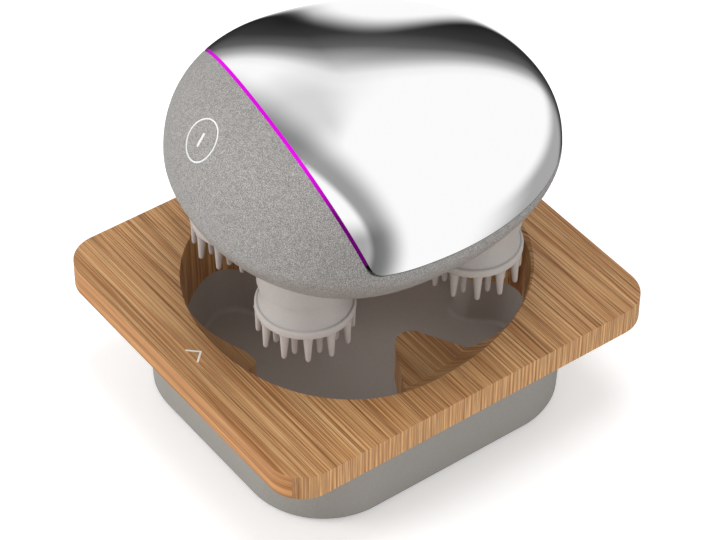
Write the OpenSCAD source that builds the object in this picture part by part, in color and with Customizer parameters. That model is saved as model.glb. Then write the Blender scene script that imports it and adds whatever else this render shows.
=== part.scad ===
// Hand-held scalp massager with four turning heads, held over its bamboo-topped dock.
// Millimetres, +Z up, origin at the centre of the dock's underside. The dock's arrow side is -Y.
// Every massager part is drawn about the shell's own centre, at the height of its widest line,
// and carried() then puts it over the dock.

/* [Dock deck] */
// Width of the bamboo deck along X
deck_w = 121; // [112:0.5:140]
// Length of the bamboo deck along Y
deck_l = 133; // [124:0.5:150]
// Thickness of the deck at its overhanging edge
deck_edge_t = 8.7; // [6:0.1:12]
// Radius of the deck's four corners
deck_corner_r = 11.3; // [4:0.1:20]
// Full thickness of the bamboo block round the opening
block_t = 23; // [19:0.5:26]
// Distance by which the back of the opening is short of the seated shell's outline
mouth_cut = 1; // [0.8:0.1:2.8]
// Distance by which the opening narrows over the block's thickness
wood_narrowing = 0.5; // [0.3:0.1:0.8]
// Rounding of the corners between a lobe and its tongues
lobe_round = 9; // [6:0.5:10]
// Distance from the centre to the tip of each side tongue
side_tongue_x = 21; // [18:0.5:24]
// Radius of a side tongue's tip
side_tongue_r = 5; // [4:0.1:6]
// Half width of a side tongue where it joins the deck
side_tongue_root = 18; // [13:0.5:19]
// Distance from the centre to the tip of each end tongue
end_tongue_y = 39.7; // [39:0.1:42]
// Radius of an end tongue's tip
end_tongue_r = 6; // [4:0.1:7]
// Half width of an end tongue where it joins the deck
end_tongue_root = 15; // [10:0.5:16]
// Distance of the tongues' middle behind the centre of the dock
tongue_shift = 1.6; // [0:0.1:1.8]
// Clearance between the shell and the dished tongues
seat_gap = 0.9; // [0.5:0.1:1.5]
// Distance of the arrow's tip in from the deck's edge
arrow_inset = 10.3; // [8.5:0.1:11.5]
// Length of each arm of the arrow
arrow_arm = 4.8; // [3:0.1:6]
// Width of the arrow's line
arrow_w = 0.6; // [0.5:0.1:1.2]
// Depth of the arrow's inlay
arrow_depth = 0.6; // [0.3:0.1:1.5]
// Angle between an arm and the arrow's line of travel
arrow_angle = 44; // [30:1:60]

/* [Dock base] */
// Width of the base outside the opening, at each side
base_side = 0.4; // [0.2:0.1:3]
// Length of the base beyond the opening, at each end
base_end = 0.8; // [0.6:0.1:4]
// Height of the base under the deck's edge
base_h = 34.7; // [31:0.1:40]
// Radius of the base's upright corners
base_corner_r = 27.4; // [16:0.1:32]
// Distance by which each wall of the base leans in from top to bottom
base_narrowing = 1.3; // [0.4:0.1:1.6]
// Rounding at the foot of the base
base_foot_r = 1.6; // [1:0.1:3]
// Wall of the base
base_wall = 1.6; // [1.2:0.1:2]
// Clearance between the bamboo block and the base
block_gap = 0.2; // [0.1:0.1:0.5]
// Wall of the well liner
liner_wall = 1.2; // [1:0.1:1.4]
// Distance by which the liner narrows from top to bottom
liner_narrowing = 2.2; // [2:0.1:3]
// Floor of the well liner
liner_floor_t = 1.6; // [1:0.1:2.5]
// Radius of a rubber foot
foot_r = 5; // [3:0.1:6]
// Height of a rubber foot under the base
foot_h = 0.8; // [0.5:0.1:1.5]
// Depth to which a foot is set into the base
foot_recess = 0.6; // [0.3:0.1:0.8]
// Distance of the feet in from the base's sides
foot_inset_x = 11.9; // [11.4:0.1:16]
// Distance of the feet in from the base's ends
foot_inset_y = 24.6; // [24:0.1:30]
// Distance of the deck's screws in from the base's sides and ends
deck_screw_inset = 9; // [8.6:0.1:9.6]
// Radius of the pillars round the deck screws
pillar_r = 3.2; // [3:0.1:3.4]
// Radius of a deck screw
deck_screw_r = 1.4; // [1.2:0.1:1.5]
// Radius of a deck screw's head
deck_screw_head_r = 2.3; // [2:0.1:2.4]
// Thickness of a deck screw's head
deck_screw_head_h = 1.6; // [1:0.1:2]
// Height at which the deck screw heads sit
deck_screw_z = 8; // [5:0.5:12]
// Depth of a deck screw in the wood
deck_screw_bite = 8; // [5:0.5:10]

/* [Massager shell] */
// Half width of the shell along X at its widest line
shell_half_w = 53.4; // [51:0.1:56]
// Length from the shell's centre to its front
shell_front = 47.4; // [45:0.1:50]
// Length from the shell's centre to its back
shell_back = 68.4; // [66:0.1:72]
// Height of the shell above its widest line
shell_top = 34.9; // [33:0.1:38]
// Depth the lower curve would reach if it weren't cut flat
shell_bottom = 33.6; // [32:0.1:36]
// Distance of the widest cross line in front of the head pattern's centre
shell_shift = 7.3; // [6:0.1:9]
// Roundness of the shell in plan, where 2 is an ellipse
plan_round = 2.1; // [2:0.05:2.3]
// Roundness of the upper curve
top_round = 2.2; // [2.05:0.05:2.4]
// Roundness of the lower curve, where less is more pointed
bottom_round = 1.56; // [1.5:0.02:1.7]
// Wall of the casing and of the bright cover
shell_wall = 1.8; // [1.6:0.1:1.8]
// Depth of the flat underside below the widest line
belly_z = 17.5; // [16.8:0.1:18.5]
// Height of the bright cover's lower edge above the widest line
cover_edge_z = 2.2; // [1:0.1:4]
// Distance of the cover's front seam ahead of the centre at the widest line
seam_y = 21.5; // [19:0.1:24]
// Lean of the front seam, as forward travel per unit of height
seam_lean = 0.35; // [0.25:0.01:0.45]
// Width of the light line in the seam
light_w = 1.1; // [0.8:0.1:1.6]
// Open joint between the cover and the casing
shell_joint = 0.25; // [0.15:0.05:0.4]
// Rounding of the cover's two front lower corners
cover_corner_r = 4; // [1:0.5:8]
// Depth of the light guide from the shell's surface
guide_depth = 2.8; // [2.6:0.1:4]
// Height of the light board behind the light guide
led_depth = 5; // [3:0.5:6]
// Thickness of the underside cover
belly_t = 2; // [1.6:0.1:2.4]
// Clearance between the underside cover and the casing
belly_gap = 0.1; // [0.05:0.05:0.3]

/* [Screw posts] */
// Distance of the front post from the centre
front_post_y = 36; // [35.5:0.1:37]
// Distance of the back post from the centre
back_post_y = 38; // [37:0.1:38.5]
// Radius of a post
post_r = 3; // [2.6:0.1:3.2]
// Thickness of a post's rib
rib_t = 1.6; // [1:0.1:2]
// Radius of a screw
screw_r = 1.1; // [0.9:0.05:1.2]
// Radius of a screw's head
screw_head_r = 2.2; // [1.8:0.1:2.4]
// Thickness of a screw's head
screw_head_h = 1.1; // [0.8:0.1:1.3]
// Length of a screw
screw_l = 8; // [6:0.5:8.5]
// Clearance of a screw in a through hole
screw_gap = 0.1; // [0.05:0.05:0.2]

/* [Held position] */
// Height of the widest line over the deck when the massager is seated
seat_rise = 9.4; // [9:0.1:11]
// Height at which the massager is held over its seat
held_rise = 38.9; // [20:0.1:60]
// Turn of the held massager against the dock
held_turn = -8.5; // [-9:0.5:9]

/* [Heads] */
// Distance of each head's axis from the centre
head_ring_r = 35; // [34.8:0.1:35]
// Half spacing of the heads across the shell
head_half_x = 21.2; // [20:0.1:22]
// Depth of the head's rim top below the widest line
rim_z = 28.5; // [27:0.1:30]
// Radius of the head's rim
rim_r = 14.7; // [14:0.1:15.2]
// Thickness of the head's rim
rim_t = 2.4; // [1.8:0.1:3]
// Rounding of the rim's edges
rim_round = 0.5; // [0.2:0.1:0.8]
// Radius of the head's drum
drum_r = 12.8; // [12:0.1:13]
// Radius to which the drum flares at the rim
flare_r = 14.1; // [13.2:0.1:14.2]
// Height of the drum's flare
flare_h = 5; // [2:0.5:6]
// Outer radius of the fixed collar round each drum
collar_r = 14; // [13.8:0.1:14.4]
// Depth of the collar's lower edge below the widest line
collar_z = 20.1; // [19.6:0.1:21]
// Running gap between a drum and its collar
drum_gap = 0.35; // [0.3:0.05:0.5]
// Tines round the edge of a head
outer_tines = 12; // [8:1:14]
// Tines on the inner circle of a head
inner_tines = 8; // [5:1:9]
// Depth of the outer tine tips below the rim's top
outer_tip_z = 11.7; // [9:0.1:13]
// Depth of the inner tine tips below the rim's top
inner_tip_z = 13.1; // [10:0.1:14]
// Radius of a tine at its root
tine_root_r = 1.5; // [1.2:0.05:1.7]
// Radius of a tine at its tip
tine_tip_r = 0.75; // [0.5:0.05:0.9]
// Radius of the inner circle of tines
inner_ring_r = 9.4; // [8:0.1:9.8]
// Size of an inner tine's root against an outer one's
inner_root_share = 0.87; // [0.8:0.01:1]
// Turn of the tine pattern
tine_turn = -24; // [-30:1:30]
// Depth of the collar's hidden upper edge below the widest line
collar_top_z = 11; // [10:0.1:12]
// Gap between the drum's top and the underside cover
drum_top_gap = 0.5; // [0.3:0.1:0.8]
// Radius of the spigot that carries the pad
spigot_r = 9; // [6:0.1:11]
// Height of the spigot
spigot_h = 1.2; // [0.8:0.1:1.6]
// Depth to which a spindle is set into its drum, from the drum's lower face
spindle_cover = 2.5; // [1.5:0.1:4]

/* [Drive] */
// Height of the gears' lower face against the widest line
gear_z = -4; // [-4.4:0.1:-3.6]
// Teeth of the central drive gear
drive_teeth = 36; // [34:2:36]
// Teeth of each output gear
output_teeth = 34; // [32:2:34]
// Backlash on the pitch circle
backlash = 0.2; // [0.15:0.01:0.3]
// Thickness of an output gear
gear_t = 5; // [4:0.5:5]
// Radius of a head's spindle
spindle_r = 2; // [1.8:0.1:2.4]
// Running clearance of a spindle in its bushes
spindle_fit = 0.04; // [0.02:0.01:0.08]
// Radius of a bush
bush_r = 3.6; // [3.4:0.1:4]
// Wall of the bush bosses on the underside cover
bush_wall = 1.8; // [1:0.1:2]
// Depth of the lower bushes' tops below the widest line
bush_top_z = 8.5; // [8.3:0.1:9.5]
// Thickness of a spindle seal
seal_h = 1; // [0.5:0.1:1.5]
// Radius of a spindle's thrust collar
thrust_r = 3; // [2.6:0.1:3.4]
// Thickness of a thrust collar
thrust_t = 0.8; // [0.5:0.1:1.2]
// Play of a thrust collar over its bush
thrust_gap = 0.3; // [0.2:0.05:0.5]
// Thickness of the gear plate
plate_t = 2.4; // [2:0.1:2.6]
// Gap between the gears and the gear plate
plate_gap = 1; // [0.8:0.1:1.2]
// Width of the gear plate's arms
plate_arm_w = 10; // [6:0.5:12]
// Radius of the motor and its reducer
motor_r = 12; // [10:0.1:12.4]
// Height of the motor
motor_h = 15; // [10:0.5:15]
// Height of the reducer
reducer_h = 7; // [6:0.5:7.5]
// Radius of the reducer's output shaft
drive_shaft_r = 2.5; // [2:0.1:3]
// Length of the shaft inside the reducer
shaft_reach = 4; // [3:0.1:5]

/* [Power and electronics] */
// Width of the battery pack
pack_w = 46; // [40:0.5:47]
// Length of the battery pack
pack_l = 28; // [24:0.5:29]
// Height of the battery pack
pack_h = 9; // [6:0.5:9.5]
// Distance of the battery pack behind the centre
pack_y = 15; // [14.5:0.1:16]
// Wall of the battery tray
tray_wall = 1.2; // [1:0.1:1.5]
// Height of the battery tray
tray_h = 6; // [3:0.5:8]
// Width of the control board
board_w = 38; // [34:0.5:40]
// Length of the control board
board_l = 16; // [15:0.5:18]
// Distance of the control board's front edge from the centre
board_y = 30.5; // [30:0.1:31.5]
// Thickness of a circuit board
board_t = 1.6; // [1:0.1:1.8]
// Width of the charge socket
socket_w = 9; // [8:0.1:10]
// Height of the charge socket
socket_h = 3.2; // [2.8:0.1:3.6]
// Length of the charge socket
socket_l = 7.4; // [6:0.1:8]
// Wall of the charge socket
socket_wall = 0.5; // [0.3:0.05:0.6]
// Depth of the charge socket's centre below the widest line
socket_z = 5; // [4:0.1:6]
// Distance of the charge socket's mouth behind the centre
socket_y = 58; // [57.5:0.1:58.2]
// Clearance round the charge socket
socket_gap = 0.1; // [0.05:0.05:0.2]

/* [Button] */
// Height of the button's centre above the widest line
button_z = 20.2; // [17:0.1:21]
// Sideways place of the button's centre
button_x = -4; // [-5:0.5:5]
// Radius of the button
button_r = 6; // [5:0.1:6.5]
// Travel of the button
button_travel = 0.6; // [0.4:0.1:0.8]
// Clearance round the button
button_gap = 0.12; // [0.08:0.01:0.2]
// Width of the white ring round the button
ring_w = 0.5; // [0.4:0.05:0.8]
// Depth of the ring's groove
ring_depth = 1; // [0.6:0.1:1.4]
// Length of the white bar on the button
mark_l = 3.4; // [2:0.1:5]
// Width of the white bar
mark_w = 0.8; // [0.5:0.1:1.2]
// Depth of the white bar
mark_depth = 0.6; // [0.4:0.1:1]
// Turn of the white bar against the button's upright
mark_turn = 12; // [-20:1:40]
// Thickness of the button's cap
cap_t = 2.4; // [2:0.1:2.8]
// Radius of the button's stem
stem_r = 2.4; // [2:0.1:2.8]
// Wall of the tube that guides the button
boss_wall = 1.6; // [1.2:0.1:2]
// Depth of the button's switch board below the shell's surface
boss_depth = 8; // [7.6:0.1:8.4]
// Side of the switch's square body
switch_w = 5; // [4.5:0.1:6]
// Height of the switch's body
switch_h = 3; // [2.8:0.1:3.2]
// Radius of the switch's plunger
plunger_r = 1.6; // [1.2:0.1:1.8]
// Height of the plunger over the switch
plunger_h = 0.9; // [0.8:0.1:1.2]
// Clearance round the plunger
plunger_gap = 0.05; // [0.03:0.01:0.1]
// Thickness of the button's soft seal
button_seal_t = 1.6; // [1:0.1:2]

/* [Hidden] */

eps = 0.01;
fine = 48;
smooth = 96;
big = 160;

// Heights of the dock
base_bottom_z = foot_h;
base_top_z = base_h;
deck_top_z = base_h + deck_edge_t;
block_bottom_z = deck_top_z - block_t;
liner_bottom_z = base_bottom_z + base_wall;
block_lean = base_narrowing * (base_top_z - block_bottom_z) / (base_top_z - liner_bottom_z - base_foot_r);
block_inset = base_wall + block_lean + block_gap;
arrow_y = deck_l / 2 - arrow_inset;

// Place of the held massager
widest_z = deck_top_z + seat_rise + held_rise;

// Gear train: all four heads stand on one circle round the drive gear
gear_module = 2 * head_ring_r / (drive_teeth + output_teeth);
addendum = 0.9 * gear_module;
dedendum = 1.25 * gear_module;
head_half_y = sqrt(head_ring_r * head_ring_r - head_half_x * head_half_x);
HEADS = [
  [head_half_x, -head_half_y],
  [head_half_x, head_half_y],
  [-head_half_x, head_half_y],
  [-head_half_x, -head_half_y]
];
pressure_angle = 20;
gear_top_z = gear_z + gear_t;
plate_z = gear_top_z + plate_gap;
plate_top_z = plate_z + plate_t;

// Shell curves. A ring is one level outline, and spread() is how far it is drawn in at a height.
function signed_pow(v, e) = sign(v) * pow(abs(v), e);
function curve_round(z) = z > 0 ? top_round : bottom_round;
function curve_h(z, inset) = (z > 0 ? shell_top : shell_bottom) - inset;
function spread(z, inset = 0) =
  pow(1 - pow(abs(z) / curve_h(z, inset), curve_round(z)), 1 / curve_round(z));
function ring_point(t, k, inset = 0) = [
  k * (shell_half_w - inset) * signed_pow(cos(t), 2 / plan_round),
  k * ((sin(t) > 0 ? shell_back : shell_front) - inset) * signed_pow(sin(t), 2 / plan_round) - shell_shift
];
shell_sides = 72;
shell_rings = 11;
function ring_angle(i) = 90 * i / shell_rings;
function ring_spread(i) = pow(cos(ring_angle(i)), 2 / curve_round(i));
function ring_height(i, inset) = signed_pow(sin(ring_angle(i)), 2 / curve_round(i)) * curve_h(i, inset);

// The shell as a solid, drawn in by inset all round
module egg(inset = 0) {
  points = [
    for (i = [1 - shell_rings:shell_rings - 1], j = [0:shell_sides - 1])
      let (p = ring_point(360 * j / shell_sides, ring_spread(i), inset))
      [p.x, p.y, ring_height(i, inset)],
    [0, -shell_shift, inset - shell_bottom],
    [0, -shell_shift, shell_top - inset]
  ];
  rows = 2 * shell_rings - 1;
  low = rows * shell_sides;
  function at(i, j) = i * shell_sides + j % shell_sides;
  faces = [
    for (i = [0:rows - 2], j = [0:shell_sides - 1]) [at(i, j), at(i + 1, j), at(i + 1, j + 1)],
    for (i = [0:rows - 2], j = [0:shell_sides - 1]) [at(i, j), at(i + 1, j + 1), at(i, j + 1)],
    for (j = [0:shell_sides - 1]) [low, at(0, j), at(0, j + 1)],
    for (j = [0:shell_sides - 1]) [low + 1, at(rows - 1, j + 1), at(rows - 1, j)]
  ];
  polyhedron(points, faces, convexity = 4);
}

module skin(depth) {
  difference() {
    egg();
    egg(depth);
  }
}

// A level outline of the shell at height z
module ring_2d(z, inset = 0) {
  polygon([for (j = [0:shell_sides - 1]) ring_point(360 * j / shell_sides, spread(z, inset), inset)]);
}

seam_angle = atan(seam_lean);

// Everything behind the leaning seam, moved back by shift
module behind_seam(shift = 0) {
  translate([0, shift - seam_y, 0])
    rotate([seam_angle, 0, 0])
      translate([-big / 2, 0, -big / 2])
        cube([big, big, big]);
}

module above(z) {
  translate([-big / 2, -big / 2, z])
    cube([big, big, big]);
}

// Puts a piece of the massager where the massager is held
module carried() {
  translate([0, 0, widest_z])
    rotate([0, 0, held_turn])
      children();
}

module at_heads() {
  for (p = HEADS)
    translate([p.x, p.y, 0])
      children();
}

module rounded_2d(w, l, r) {
  for (x = [-1, 1])
    for (y = [-1, 1])
      translate([x * (w / 2 - r), y * (l / 2 - r)])
        circle(r, $fn = 96);
  square([w, l - 2 * r], center = true);
  square([w - 2 * r, l], center = true);
}

// Dock

// The opening follows the seated shell's outline, a little short of it at the back
mouth_k = spread(-seat_rise);
mouth_back = mouth_k * shell_back - shell_shift + seat_gap - mouth_cut;
base_w = 2 * (mouth_k * shell_half_w + seat_gap + base_side);
base_l = 2 * (mouth_back + base_end);
function mouth_point(t) =
  let (p = ring_point(t, mouth_k), back = mouth_back + shell_shift)
  [
    p.x + seat_gap * cos(t),
    sin(t) > 0 ? back * signed_pow(sin(t), 2 / plan_round) - shell_shift : p.y + seat_gap * sin(t)
  ];

// A tongue that points at the centre from the +X side
module tongue_2d(tip, r, root, out) {
  hull() {
    translate([tip + r, 0])
      circle(r, $fn = 32);
    translate([out, -root])
      square([2 * r, 2 * root]);
  }
}

module tongues_2d() {
  for (side = [0, 180])
    rotate([0, 0, side])
      tongue_2d(side_tongue_x, side_tongue_r, side_tongue_root, mouth_k * shell_half_w);
  for (side = [-90, 90])
    rotate([0, 0, side])
      tongue_2d(end_tongue_y, end_tongue_r, end_tongue_root, mouth_back);
}

module clover_2d() {
  corner_r = 1.5;
  offset(r = -corner_r, $fn = 24)
    offset(r = corner_r + lobe_round, $fn = 32)
      offset(delta = -lobe_round)
        difference() {
          polygon([for (j = [0:shell_sides - 1]) mouth_point(360 * j / shell_sides)]);
          translate([0, tongue_shift])
            tongues_2d();
        }
}

// Size of the opening against its size at the deck's face, in the wood and in the liner
function wood_size(z) = 1 - wood_narrowing * (deck_top_z - z) / (block_t * mouth_back);
function liner_size(z) =
  wood_size(block_bottom_z)
  - liner_narrowing * (block_bottom_z - z) / ((block_bottom_z - liner_bottom_z) * mouth_back);

// The tapering well between two heights, drawn out by grow
module well(bottom, top, low, high, grow = 0) {
  translate([0, 0, bottom])
    linear_extrude(height = top - bottom, scale = high / low)
      offset(delta = grow)
        scale(low)
          clover_2d();
}

module liner_well(bottom, top, grow = 0) {
  well(bottom, top, liner_size(bottom), liner_size(top), grow);
}

// The dish that takes the shell's underside. Over the side tongues it stops at the shell's flat middle.
module dish() {
  flat_y = side_tongue_root + lobe_round;
  translate([0, 0, deck_top_z + seat_rise])
    difference() {
      egg(-seat_gap);
      translate([-shell_half_w, tongue_shift - flat_y, -big])
        cube([2 * shell_half_w, 2 * flat_y, big - belly_z - seat_gap]);
    }
}

module arrow(depth) {
  translate([0, -arrow_y, deck_top_z - arrow_depth])
    for (side = [-1, 1])
      rotate([0, 0, side * arrow_angle - 90])
        translate([-arrow_w / 2, -arrow_w / 2, 0])
          cube([arrow_arm, arrow_w, depth]);
}

// The deck is screwed on from below, once at the root of each tongue
module at_deck_screws(z) {
  x = base_w / 2 - deck_screw_inset;
  y = base_l / 2 - deck_screw_inset;
  for (p = [[x, tongue_shift], [-x, tongue_shift], [0, y], [0, -y]])
    translate([p.x, p.y, z])
      children();
}

module at_feet() {
  for (x = [-1, 1], y = [-1, 1])
    translate([x * (base_w / 2 - foot_inset_x), y * (base_l / 2 - foot_inset_y), 0])
      children();
}

module bamboo_deck() {
  color("burlywood")
    difference() {
      union() {
        translate([0, 0, base_top_z])
          linear_extrude(deck_edge_t)
            rounded_2d(deck_w, deck_l, deck_corner_r);
        base_slab(block_bottom_z, block_inset, base_top_z - block_bottom_z + eps);
      }
      well(block_bottom_z - 1, deck_top_z + 1, wood_size(block_bottom_z - 1), wood_size(deck_top_z + 1));
      dish();
      arrow(arrow_depth + 1);
      at_deck_screws(block_bottom_z)
        cylinder(r = deck_screw_r, h = deck_screw_bite, $fn = fine);
    }
}

module arrow_inlay() {
  color("white")
    arrow(arrow_depth);
}

module base_slab(z, inset, t = eps) {
  translate([0, 0, z])
    linear_extrude(t)
      rounded_2d(base_w - 2 * inset, base_l - 2 * inset, base_corner_r - inset);
}

module base_form(inset, bottom) {
  turn = 0.3;
  r = max(base_foot_r - inset, eps);
  hull() {
    base_slab(bottom, base_narrowing + r + inset);
    base_slab(bottom + r * turn, base_narrowing + r * turn + inset);
    base_slab(bottom + r, base_narrowing + inset);
    base_slab(base_top_z - eps, inset);
  }
}

module base_shell() {
  color("darkgray")
    difference() {
      union() {
        difference() {
          base_form(0, base_bottom_z);
          base_form(base_wall, base_bottom_z + base_wall);
          base_slab(base_top_z - 2 * eps, base_wall, 1);
        }
        at_deck_screws(base_bottom_z + eps)
          cylinder(r = pillar_r, h = block_bottom_z - base_bottom_z - eps, $fn = fine);
      }
      at_deck_screws(0)
        cylinder(r = deck_screw_head_r + screw_gap, h = deck_screw_z, $fn = fine);
      at_deck_screws(0)
        cylinder(r = deck_screw_r + screw_gap, h = big, $fn = fine);
      at_feet()
        cylinder(r = foot_r, h = base_bottom_z + foot_recess, $fn = fine);
    }
}

module well_liner() {
  color("dimgray")
    difference() {
      liner_well(liner_bottom_z, block_bottom_z, liner_wall);
      liner_well(liner_bottom_z + liner_floor_t, block_bottom_z + 1);
    }
}

module deck_screws() {
  color("silver") {
    at_deck_screws(deck_screw_z - deck_screw_head_h)
      cylinder(r = deck_screw_head_r, h = deck_screw_head_h, $fn = fine);
    at_deck_screws(deck_screw_z - eps)
      cylinder(r = deck_screw_r, h = block_bottom_z + deck_screw_bite - deck_screw_z, $fn = fine);
  }
}

module base_feet() {
  color("black")
    at_feet()
      cylinder(r = foot_r, h = base_bottom_z + foot_recess, $fn = fine);
}

// Massager shell

// All that lies behind the seam and above the cover's lower edge, seen from the side, with a round
// front lower corner. Its front is moved ahead by ahead, and its lower edge down by down.
module cover_zone(ahead, down) {
  edge_z = cover_edge_z - down;
  front = seam_y + ahead / cos(seam_angle);
  rotate([90, 0, 90])
    linear_extrude(big, center = true)
      offset(r = cover_corner_r, $fn = fine)
        offset(delta = -cover_corner_r)
          polygon([
            [-front - seam_lean * edge_z, edge_z],
            [big, edge_z],
            [big, big / 2],
            [-front - seam_lean * big / 2, big / 2]
          ]);
}

module chrome_cover() {
  color("gainsboro")
    carried()
      intersection() {
        skin(shell_wall);
        cover_zone(-light_w / 2, 0);
      }
}

module casing() {
  color("darkgray")
    carried()
      difference() {
        union() {
          difference() {
            skin(shell_wall);
            cover_zone(light_w / 2, shell_joint);
            translate([0, 0, -big])
              above(-belly_z);
          }
          button_tube();
          casing_posts();
        }
        at_heads()
          translate([0, 0, -big])
            cylinder(r = collar_r + belly_gap, h = big - collar_top_z + belly_gap, $fn = smooth);
        button_hole();
        screw_holes(CASING_POSTS, -belly_z, screw_l + 1);
        screw_holes(TALL_POSTS, plate_top_z - screw_l, screw_l + 1);
        charge_slot(socket_gap, big);
      }
}

// The side posts stand just inside the underside cover's edge, the cover's own midway to the gear
belly_half_w = ring_point(0, spread(-belly_z, shell_wall + belly_gap), shell_wall + belly_gap).x;
side_post_x = belly_half_w - post_r;
cover_post_x = (gear_tip_r(drive_teeth) + side_post_x - post_r) / 2;
TALL_POSTS = [[0, -front_post_y], [0, back_post_y]];
SIDE_POSTS = [[side_post_x, 0], [-side_post_x, 0]];
CASING_POSTS = concat(TALL_POSTS, SIDE_POSTS);
COVER_POSTS = [[cover_post_x, 0], [-cover_post_x, 0]];
PLATE_POSTS = concat(COVER_POSTS, TALL_POSTS);

module screw_holes(places, bottom, h, gap = 0) {
  for (p = places)
    translate([p.x, p.y, bottom])
      cylinder(r = screw_r + gap, h = h, $fn = fine);
}

// Screws that point up from their heads, or down when down is 1
module screws(places, head_z, down) {
  for (p = places)
    translate([p.x, p.y, head_z])
      mirror([0, 0, down]) {
        cylinder(r = screw_head_r, h = screw_head_h, $fn = fine);
        cylinder(r = screw_r, h = screw_l, $fn = fine);
      }
}

// Screw posts inside the casing, each joined to its wall by a rib
module casing_posts() {
  rib_l = 20;
  foot_z = belly_t - belly_z;
  rib_h = gear_z - 3 - foot_z;
  intersection() {
    union()
      for (p = CASING_POSTS)
        translate([p.x, p.y, foot_z]) {
          cylinder(r = post_r, h = p.x == 0 ? plate_z - foot_z : rib_h, $fn = fine);
          rotate([0, 0, atan2(p.y, p.x)])
            translate([0, -rib_t / 2, 0])
              cube([rib_l, rib_t, rib_h]);
        }
    egg(shell_wall / 2);
  }
}

// The gap between casing and cover along the leaning seam
module seam_gap() {
  difference() {
    cover_zone(light_w / 2, 0);
    cover_zone(-light_w / 2, 0);
    translate([0, 0, -big])
      above(cover_edge_z + cover_corner_r);
  }
}

module light_guide() {
  color("magenta")
    carried()
      intersection() {
        skin(guide_depth);
        seam_gap();
      }
}

module led_board() {
  color("seagreen")
    carried()
      intersection() {
        difference() {
          egg(guide_depth);
          egg(guide_depth + led_depth);
        }
        seam_gap();
      }
}

module bottom_cover() {
  color("gray")
    carried()
      difference() {
        union() {
          translate([0, 0, -belly_z])
            linear_extrude(belly_t)
              ring_2d(-belly_z, shell_wall + belly_gap);
          at_heads()
            translate([0, 0, -collar_z])
              cylinder(r = collar_r, h = collar_z - collar_top_z, $fn = smooth);
          at_heads()
            translate([0, 0, -belly_z])
              cylinder(r = bush_r + bush_wall, h = belly_z - bush_top_z, $fn = fine);
          for (p = COVER_POSTS)
            translate([p.x, p.y, -belly_z])
              cylinder(r = post_r, h = belly_z + plate_z, $fn = fine);
        }
        at_heads()
          translate([0, 0, -belly_z - big])
            cylinder(r = drum_r + drum_gap, h = big, $fn = smooth);
        at_heads()
          translate([0, 0, -belly_z - 1])
            cylinder(r = bush_r, h = big, $fn = fine);
        screw_holes(CASING_POSTS, -belly_z - 1, belly_t + 2, screw_gap);
        for (p = CASING_POSTS)
          translate([p.x, p.y, -belly_z - 1])
            cylinder(r = screw_head_r + screw_gap, h = screw_head_h + 1, $fn = fine);
        screw_holes(COVER_POSTS, plate_top_z - screw_l, screw_l + 1);
      }
}

module cover_screws() {
  color("silver")
    carried()
      screws(CASING_POSTS, -belly_z, 0);
}

// Drive train

module plate_2d() {
  circle(motor_r + 2, $fn = smooth);
  for (p = HEADS) {
    translate([p.x, p.y])
      circle(bush_r + 3, $fn = fine);
    rotate([0, 0, atan2(p.y, p.x)])
      translate([0, -plate_arm_w / 2])
        square([head_ring_r, plate_arm_w]);
  }
  for (p = PLATE_POSTS) {
    translate([p.x, p.y])
      circle(post_r, $fn = fine);
    rotate([0, 0, atan2(p.y, p.x)])
      translate([0, -post_r])
        square([norm(p), 2 * post_r]);
  }
}

module gear_plate() {
  color("slategray")
    carried()
      difference() {
        translate([0, 0, plate_z])
          linear_extrude(plate_t)
            plate_2d();
        translate([0, 0, plate_z - 1])
          cylinder(r = 2 * drive_shaft_r, h = plate_t + 2, $fn = fine);
        at_heads()
          translate([0, 0, plate_z - 1])
            cylinder(r = bush_r, h = plate_t + 2, $fn = fine);
        screw_holes(PLATE_POSTS, plate_z - 1, plate_t + 2, screw_gap);
      }
}

module plate_screws() {
  color("silver")
    carried()
      screws(PLATE_POSTS, plate_top_z + screw_head_h, 1);
}

module bushes(r, bottom, top, gap) {
  at_heads()
    translate([0, 0, bottom])
      difference() {
        cylinder(r = r, h = top - bottom, $fn = fine);
        translate([0, 0, -1])
          cylinder(r = spindle_r + gap, h = top - bottom + 2, $fn = fine);
      }
}

module lower_bushes() {
  color("goldenrod")
    carried()
      bushes(bush_r, seal_h - belly_z, -bush_top_z, spindle_fit);
}

module upper_bushes() {
  color("goldenrod")
    carried()
      bushes(bush_r, plate_z, plate_top_z, spindle_fit);
}

module spindle_seals() {
  color("black")
    carried()
      bushes(bush_r, -belly_z, seal_h - belly_z, 2 * spindle_fit);
}

module motor() {
  cap_r = 5;
  cap_h = 1.5;
  color("silver")
    carried()
      translate([0, 0, plate_top_z + reducer_h]) {
        cylinder(r = motor_r, h = motor_h, $fn = smooth);
        cylinder(r = cap_r, h = motor_h + cap_h, $fn = fine);
      }
}

module reducer() {
  color("dimgray")
    carried()
      translate([0, 0, plate_top_z])
        difference() {
          cylinder(r = motor_r, h = reducer_h, $fn = smooth);
          translate([0, 0, -1])
            cylinder(r = drive_shaft_r + spindle_fit, h = shaft_reach + 1 + thrust_gap, $fn = fine);
        }
}

module drive_shaft() {
  bottom_z = gear_z - drive_hub_h;
  color("silver")
    carried()
      translate([0, 0, bottom_z])
        cylinder(r = drive_shaft_r, h = plate_top_z + shaft_reach - bottom_z, $fn = fine);
}

// Involute gear teeth, with the flanks set in by the backlash
function involute(a) = tan(a) * 180 / PI - a;
function pitch_r(teeth) = gear_module * teeth / 2;
function gear_tip_r(teeth) = pitch_r(teeth) + addendum;
function half_tooth(teeth, r) =
  90 / teeth - backlash * 45 / (PI * pitch_r(teeth))
  + involute(pressure_angle)
  - involute(acos(min(1, pitch_r(teeth) * cos(pressure_angle) / r)));
function polar(r, a) = [r * cos(a), r * sin(a)];

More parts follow.
